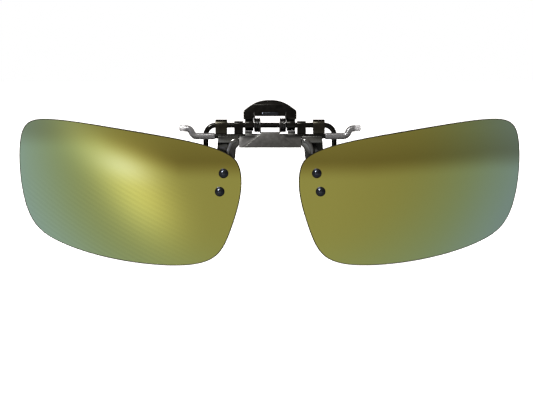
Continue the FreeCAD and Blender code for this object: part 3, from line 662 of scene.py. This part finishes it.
def spring():
    """The double torsion spring in three pieces: two coils with their feet, and the bar.

    In the object each coil winds up between its still inner end and its foot, which moves with the
    tab, and the bar's legs bend where the flip plate pushes the bar over the front claw wire; here
    the pieces are built still.
    """
    wire = SPRING_WIRE_MM
    touch = CLAW_RADIUS_MM + wire + BAR_GAP_MM
    bar_y = -CLAW_FORWARD_MM - touch * math.sin(BAR_LEAN)
    bar_z = -CLAW_DROP_MM + touch * math.cos(BAR_LEAN)
    foot_y, foot_z = FOOT_MM
    start_turn = math.atan2(foot_z, foot_y) + math.acos(COIL_RADIUS_MM / math.hypot(foot_y, foot_z))
    end_turn = math.atan2(bar_z, bar_y) % (2 * math.pi) + 2 * math.pi * COIL_TURNS
    end_turn -= math.acos(COIL_RADIUS_MM / math.hypot(bar_y, bar_z))
    turns = np.linspace(start_turn, end_turn, COIL_STEPS * COIL_TURNS)
    coil = np.stack([
        np.linspace(COIL_OUTER_MM, COIL_INNER_MM, len(turns)),
        COIL_RADIUS_MM * np.cos(turns),
        COIL_RADIUS_MM * np.sin(turns),
    ], axis=1)
    rise = np.linalg.norm(np.array(FOOT_MM) - coil[0, 1:])
    foot = coil[0] + (coil[0] - coil[1]) / np.linalg.norm(coil[0] - coil[1]) * rise
    straight = [foot + (coil[0] - foot) * k / FOOT_STEPS for k in range(FOOT_STEPS)]
    rounded_end = [foot + (foot - coil[0]) / rise * wire * past for past, _ in FOOT_END]
    path = np.vstack([rounded_end, straight, coil])
    radii = [wire * share for _, share in FOOT_END] + [wire] * (len(path) - len(FOOT_END))
    drop = np.linalg.norm(np.array((bar_y, bar_z)) - coil[-1, 1:])
    elbow = coil[-1] + (coil[-1] - coil[-2]) / np.linalg.norm(coil[-1] - coil[-2]) * drop
    half_bar = rounded_path([coil[-1], elbow, (0, elbow[1], elbow[2])], 2 * wire)
    for name, side in SIDES.items():
        turned = path * (side, 1, 1)
        piece = rod(f"spring_coil_{name}", turned, radii, "spring_steel", "torsion_spring")
        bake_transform(piece)
    bar_path = np.vstack([half_bar * (-1, 1, 1), half_bar[-2::-1]])
    bar = rod("spring_bar", bar_path, [wire] * len(bar_path), "spring_steel", "torsion_spring")
    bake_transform(bar)


# ------------------------------------------------------------------ soft sleeves

SLEEVE_MM = 0.90
WIRE_GRIP_MM = 0.03
LIP_LENGTH_MM = 0.12
LIP_ROLL_MM = 0.10
LIP_FLARE_MM = 0.05
WAVE_MM = 0.02


def sleeve(name, path, bore, body, stands_for, seed):
    """A soft tube with rolled lips and faint waves along it."""
    rng = np.random.default_rng(seed)
    count = len(path)
    length = np.concatenate([[0.0], np.cumsum(np.linalg.norm(np.diff(path, axis=0), axis=1))])
    waves = 0.0
    for _ in range(4):
        height, pace, shift = rng.uniform(0.002, 0.007), rng.uniform(0.8, 3.0), rng.uniform(0, 6)
        waves = waves + height * np.sin(length * pace + shift)
    from_end = np.minimum(length, length[-1] - length)
    lip = np.clip(from_end / LIP_LENGTH_MM, 0, 1)
    rolled_in = LIP_ROLL_MM * (1 - np.sqrt(lip * (2 - lip)))
    outer = SLEEVE_MM - WAVE_MM + np.clip(waves, -WAVE_MM, WAVE_MM) - rolled_in
    inner = np.full(count, bore) + LIP_FLARE_MM * (1 - lip)
    sides = 32
    rings = rings_along(path, outer, sides)
    rings += list(reversed(rings_along(path, inner, sides)))
    faces = bridge(len(rings), sides, closed=True)
    piece = mesh_piece(name, np.vstack(rings), faces, ["clear_tube"], stands_for)
    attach(piece, body)
    return piece


def longer(corners, spare):
    """The corners with the last one moved on by spare."""
    last, before = np.array(corners[-1]), np.array(corners[-2])
    return corners[:-1] + [last + (last - before) / np.linalg.norm(last - before) * spare]


def sleeves():
    """The four sleeves, each on its wire's path and a little longer than the wire."""
    arm, prong = ARM_MM, PRONG_MM
    y, z = -CLAW_FORWARD_MM, -CLAW_DROP_MM
    for seed, (name, side) in enumerate(SIDES.items()):
        knee = side * (arm["reach"] + arm["out"])
        tip = knee + side * arm["tip_out"]
        corners = longer([
            (side * arm["start"], y, z),
            (side * arm["reach"], y, z),
            (knee, y + arm["lean"] / 2, z + arm["rise"]),
            (tip, y + arm["lean"], z + arm["rise"] + arm["tip_rise"]),
        ], arm["spare"])
        sleeve(f"front_sleeve_{name}_tube", rounded_path(corners, arm["bend"]),
               CLAW_RADIUS_MM - WIRE_GRIP_MM, "front_clamp", f"front_sleeve_{name}", seed)
        reach = side * prong["reach"]
        corners = longer([
            (reach, 0, -prong["start"]),
            (reach, 0, -prong["straight"]),
            (reach + side * prong["splay"], prong["lead_in"], -prong["length"]),
        ], prong["spare"])
        sleeve(f"rear_sleeve_{name}_tube", rounded_path(corners, prong["bend"]),
               SHAFT_RADIUS_MM - WIRE_GRIP_MM, "rear_jaw", f"rear_sleeve_{name}", seed + len(SIDES))


# ------------------------------------------------------------------ stamped metal pieces

# Each node's look, and how far its edges are rounded.
STAMPED = {
    "thumb_tab": ("black_nickel", 0.14),
    "flip_plate": ("gunmetal", 0.07),
    "inner_link_left": ("black_nickel", 0.08),
    "inner_link_right": ("black_nickel", 0.08),
    "outer_link_left": ("blackened", 0.08),
    "outer_link_right": ("blackened", 0.08),
    "lens_bracket_left": ("dark_gunmetal", 0.10),
    "lens_bracket_right": ("dark_gunmetal", 0.10),
}
CARRIED = {
    "rear_claw_wire": "black_nickel",
    "front_claw_wire": "black_nickel",
    "lens_rivets": "rivet_black",
    "lens_bushes": "clear_bush",
    "lens_washers": "washer_black",
}

# The tab's raised face is this far behind the foremost point of its curls.
TAB_FACE_MM = 2.30
LIP_MM = {"half": 2.50, "end_height": 2.96, "middle_height": 3.02, "bend": 20.0, "round": 0.50,
          "radius": 0.56}
LIP_FLATTEN = 0.7
# A bracket's hem stands this far in front of the rest of it. The rib's path, as x and z, starts on
# the hem and ends on the part below it.
HEM_MM = 0.45
RIB_TOP_MM = [(8.80, -3.95), (10.40, -4.25)]
RIB_FOOT_MM = [(11.50, -6.90), (12.10, -10.40)]
RIB_BEND_MM = 1.80
RIB_RADIUS_MM = 0.55
RIB_FLATTEN = 0.55
RIB_ROUND = 0.12


def thumb_lip():
    """The rolled lip along the upper edge of the thumb tab's window."""
    front = box_mm("thumb_tab")[0][1] + TAB_FACE_MM
    half, low, high = LIP_MM["half"], LIP_MM["end_height"], LIP_MM["middle_height"]
    path = rounded_path([(-half, front, low), (0, front, high), (half, front, low)], LIP_MM["bend"])
    radii = rounded_ends((half - np.abs(path[:, 0])) / LIP_MM["round"], LIP_MM["radius"])
    # The lip takes the rivets' black, lighter and bluer than the tab's: partly a painted reflection
    # of the pale table below.
    piece = rod("thumb_lip", path, radii, "rivet_black", None, sides=24, flatten=LIP_FLATTEN)
    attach(piece, "rear_jaw")


def bracket_rib(name, side):
    """The rounded rib pressed into a bracket, from its hem down behind the lens."""
    hem = box_mm(f"lens_bracket_{name}")[0][1]
    corners = [(x, hem, z) for x, z in RIB_TOP_MM] + [(x, hem + HEM_MM, z) for x, z in RIB_FOOT_MM]
    path = rounded_path(corners, RIB_BEND_MM) * (side, 1, 1)
    along = np.linspace(0, 1, len(path))
    radii = rounded_ends(np.minimum(along, 1 - along) / RIB_ROUND, RIB_RADIUS_MM)
    # The rib is lighter than its bracket: painted highlight.
    piece = rod(f"bracket_rib_{name}", path, radii, "painted_highlight_gunmetal", None, sides=24,
                flatten=RIB_FLATTEN)
    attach(piece, "lens_frame")


# ------------------------------------------------------------------ floor, light and camera

# In this section, lengths whose names don't end in _MM are in metres.
FLOOR_HALF = 3.0
FLOOR_GAP_MM = 0.5


def floor():
    """A pale sheet just below the object, left out of its reflections."""
    low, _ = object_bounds()
    half, z = FLOOR_HALF, low[2] - FLOOR_GAP_MM * MM
    mesh = bpy.data.meshes.new("floor")
    corners = [(-half, -half, z), (half, -half, z), (half, half, z), (-half, half, z)]
    mesh.from_pydata(corners, [], [(0, 1, 2, 3)])
    mesh.materials.append(studio_paper())
    plane = bpy.data.objects.new("floor", mesh)
    plane.visible_glossy = False
    bpy.context.scene.collection.objects.link(plane)
    plane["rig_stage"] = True


# Patches of light in the surroundings. All but power are degrees: place is right of and above the
# way from the object to the camera, lean is the turn of the oval's length above the level.
HOT_PATCH = {"place": (-27.0, -6.5), "lean": 20.0, "length": 8.0, "width": 3.4, "power": 1.0}
HOT_COLOUR = (0.90, 0.97, 1.9)
HOT_TINT = 0.8
LIT_PATCHES = [
    {"place": (-23.5, -14.0), "lean": 55.0, "length": 13.0, "width": 8.0, "power": 1.30},
    {"place": (-36.0, -2.0), "lean": 42.0, "length": 13.0, "width": 5.5, "power": 0.60},
]
BACK_PATCHES = [
    {"place": (-140.0, 16.0), "lean": 60.0, "length": 20.0, "width": 12.0, "power": 1.5},
    {"place": (140.0, 16.0), "lean": 120.0, "length": 20.0, "width": 12.0, "power": 1.5},
]


def lit_patch(n, right, up, place, lean, length, width, power):
    """A soft oval of light in the surroundings."""
    across = n.math("SUBTRACT", right, place[0])
    above = n.math("SUBTRACT", up, place[1])
    cosine, sine = math.cos(math.radians(lean)), math.sin(math.radians(lean))
    along = n.math("MULTIPLY_ADD", above, -sine, n.math("MULTIPLY", across, cosine))
    beside = n.math("MULTIPLY_ADD", above, cosine, n.math("MULTIPLY", across, sine))
    far = n.math("ADD", n.math("POWER", n.math("DIVIDE", along, length), 2.0),
                 n.math("POWER", n.math("DIVIDE", beside, width), 2.0))
    return n.math("MULTIPLY", n.math("EXPONENT", n.math("MULTIPLY", far, -1.0)), power)


# The ripples' spacing and depth, the direction across them, their curve, and the directions in
# degrees over which they come in towards the left and downwards.
RIPPLE_DEGREES = 1.25
RIPPLE_DEPTH = 0.08
RIPPLE_ACROSS = (0.35, 0.87)
RIPPLE_CURVE = -0.003
RIPPLE_LEFT_FADE = (-6.0, -18.0)
RIPPLE_DOWN_FADE = (-7.0, -13.0)


def rippled(n, right, up):
    """Factor with the fine parallel ripples of the cloth on the left of the table."""
    per_right, per_up = RIPPLE_ACROSS
    across = n.math("MULTIPLY_ADD", right, per_right, n.math("MULTIPLY", up, per_up))
    across = n.math("MULTIPLY_ADD", n.math("MULTIPLY", right, right), RIPPLE_CURVE, across)
    wave = n.math("SINE", n.math("MULTIPLY", across, 2 * math.pi / RIPPLE_DEGREES))
    where = n.math("MULTIPLY", n.spread(right, *RIPPLE_LEFT_FADE), n.spread(up, *RIPPLE_DOWN_FADE))
    return n.math("MULTIPLY_ADD", n.math("MULTIPLY", wave, where), RIPPLE_DEPTH, 1.0)


# Arguments of spread(): two directions in degrees and, where there are four, the values at them.
HORIZON_LIFT_LEFT = (-34.0, -12.0, -8.0, 0.0)
HORIZON_LIFT_RIGHT = (15.0, 50.0, 0.0, -2.5)
TABLE_FADE = (-10.5, -4.5)
TABLE_POWER = 1.06
ROOM_POWER = (-5.0, 3.0, 0.57, 0.76)
RIGHT_SHADE = (5.0, 55.0, 1.0, 0.74)
CEILING_POWER = (30.0, 70.0, 0.0, 0.6)
WARM_FADE = (-6.0, 4.0)
WARM_LOW, WARM_HIGH = (1.0, 0.88, 0.76), (1.0, 0.94, 0.90)
WHITE = (1.0, 1.0, 1.0)
# A reflected ray is behind the object where its Y runs over these values, and dimmed to this share.
BACK_FADE = (0.0, 0.35)
BACK_SHADE = 0.08


def table_and_room(n, right, up):
    """Colour and power of the pale table below, the warm dim room above it and the ceiling."""
    lift = n.math("ADD", n.spread(right, *HORIZON_LIFT_LEFT), n.spread(right, *HORIZON_LIFT_RIGHT))
    height = n.spread(n.math("ADD", up, lift), *TABLE_FADE, smooth=True)
    warm = n.mix(n.spread(up, *WARM_FADE), WARM_LOW, WARM_HIGH)
    table = n.math("MULTIPLY", n.math("SUBTRACT", 1.0, height), TABLE_POWER)
    glow = n.math("ADD", n.math("MULTIPLY", height, n.spread(up, *ROOM_POWER)), table)
    glow = n.math("MULTIPLY", glow, n.spread(right, *RIGHT_SHADE))
    ceiling = n.spread(up, *CEILING_POWER, smooth=True)
    return n.mix(height, WHITE, warm), n.math("ADD", glow, ceiling)


def surroundings():
    """White to the camera; otherwise a pale table, a warm dim room and soft lit patches.

    In reflections the half behind the object is dark, which draws its edges, apart from two soft
    patches that show in the lenses seen from behind.
    """
    world = bpy.data.worlds.new("studio")
    bpy.context.scene.world = world
    world.use_nodes = True
    n = Nodes(world.node_tree)
    n.tree.nodes.clear()
    ray = n.add("SeparateXYZ", {"Vector": n.add("TexCoord").outputs["Generated"]}).outputs
    up = n.math("DEGREES", n.math("ARCSINE", ray["Z"]))
    right = n.math("DEGREES", n.math("ARCTAN2", ray["X"], n.math("MULTIPLY", ray["Y"], -1.0)))
    colour, glow = table_and_room(n, right, up)
    for patch in LIT_PATCHES:
        glow = n.math("ADD", glow, lit_patch(n, right, up, **patch))
    hot = lit_patch(n, right, up, **HOT_PATCH)
    colour = n.mix(n.math("MULTIPLY", hot, HOT_TINT), colour, HOT_COLOUR)
    glow = n.math("MULTIPLY", n.math("ADD", glow, hot), rippled(n, right, up))
    mirrored = n.add("LightPath").outputs["Is Glossy Ray"]
    behind = n.math("MULTIPLY", n.spread(ray["Y"], *BACK_FADE), mirrored)
    glow = n.math("MULTIPLY", glow, n.spread(behind, 0.0, 1.0, 1.0, BACK_SHADE))
    for patch in BACK_PATCHES:
        glow = n.math("ADD", glow, lit_patch(n, right, up, **patch))
    reflected = n.add("Background", {"Color": colour, "Strength": glow})
    seen = n.add("Background", {"Color": WHITE, "Strength": 1.0})
    mix = n.add("MixShader", {0: n.add("LightPath").outputs["Is Camera Ray"]})
    n.feed(mix.inputs[1], reflected.outputs[0])
    n.feed(mix.inputs[2], seen.outputs[0])
    n.feed(n.add("OutputWorld").inputs["Surface"], mix.outputs[0])


LIGHT_AIM = Vector((0, 0, -0.02))
SOFTBOXES = {
    "key": {"place": (-0.5, -0.6, 0.7), "size": (0.40, 0.40), "power": 5.0},
    "fill": {"place": (0.6, -0.5, 0.5), "size": (0.50, 0.50), "power": 2.5, "mirrored": False},
    "glint": {"place": (-0.45, -0.62, 0.62), "size": (0.16, 0.22), "power": 24.0, "lights": False},
    "crown": {"place": (-0.24, -0.52, 0.93), "size": (0.45, 0.25), "power": 8.0, "lights": False},
    "rim": {"place": (0.0, 0.6, 0.6), "size": (0.80, 0.40), "power": 4.0, "mirrored": False},
}


def soft_light(name, place, size, power, mirrored=True, lights=True):
    """A softbox aimed at the object, which may show in reflections, light surfaces, or both."""
    data = bpy.data.lights.new(name, "AREA")
    data.shape = "RECTANGLE"
    data.size, data.size_y = size
    data.energy = power
    lamp = bpy.data.objects.new(name, data)
    lamp.location = place
    lamp.visible_glossy = mirrored
    lamp.visible_diffuse = lights
    lamp.rotation_euler = (LIGHT_AIM - Vector(place)).to_track_quat("-Z", "Y").to_euler()
    bpy.context.scene.collection.objects.link(lamp)


CAMERA_DISTANCE = 0.450
CAMERA_TARGET = Vector((-0.00098, -0.003, -0.0201))
CAMERA_AZIMUTH = math.radians(-0.42)
CAMERA_ELEVATION = math.radians(5.0)
VIEW_WIDTH = 0.14405


def camera():
    """The camera, a little above the object and nearly square in front of it."""
    data = bpy.data.cameras.new("camera")
    data.sensor_width = 36.0
    data.lens = data.sensor_width * CAMERA_DISTANCE / VIEW_WIDTH
    data.clip_start = 0.01
    data.clip_end = 20.0
    flat = math.cos(CAMERA_ELEVATION)
    away = Vector((math.sin(CAMERA_AZIMUTH) * flat, -math.cos(CAMERA_AZIMUTH) * flat,
                   math.sin(CAMERA_ELEVATION)))
    eye = bpy.data.objects.new("camera", data)
    eye.location = CAMERA_TARGET + away * CAMERA_DISTANCE
    eye.rotation_euler = (-away).to_track_quat("-Z", "Y").to_euler()
    bpy.context.scene.collection.objects.link(eye)
    bpy.context.scene.camera = eye


# ------------------------------------------------------------------ the whole object

for side_name, side_sign in SIDES.items():
    lens(side_name, side_sign)
    bracket_rib(side_name, side_sign)
spring()
sleeves()
thumb_lip()
for node_name, (look_name, edge_width) in STAMPED.items():
    softened(node_name, look_name, edge_width)
for node_name, look_name in CARRIED.items():
    frame["nodes"][node_name].data.materials.clear()
    frame["nodes"][node_name].data.materials.append(LOOKS[look_name])

floor()
surroundings()
for light_name, softbox in SOFTBOXES.items():
    soft_light(light_name, **softbox)
camera()
bpy.context.scene.view_settings.view_transform = "Standard"
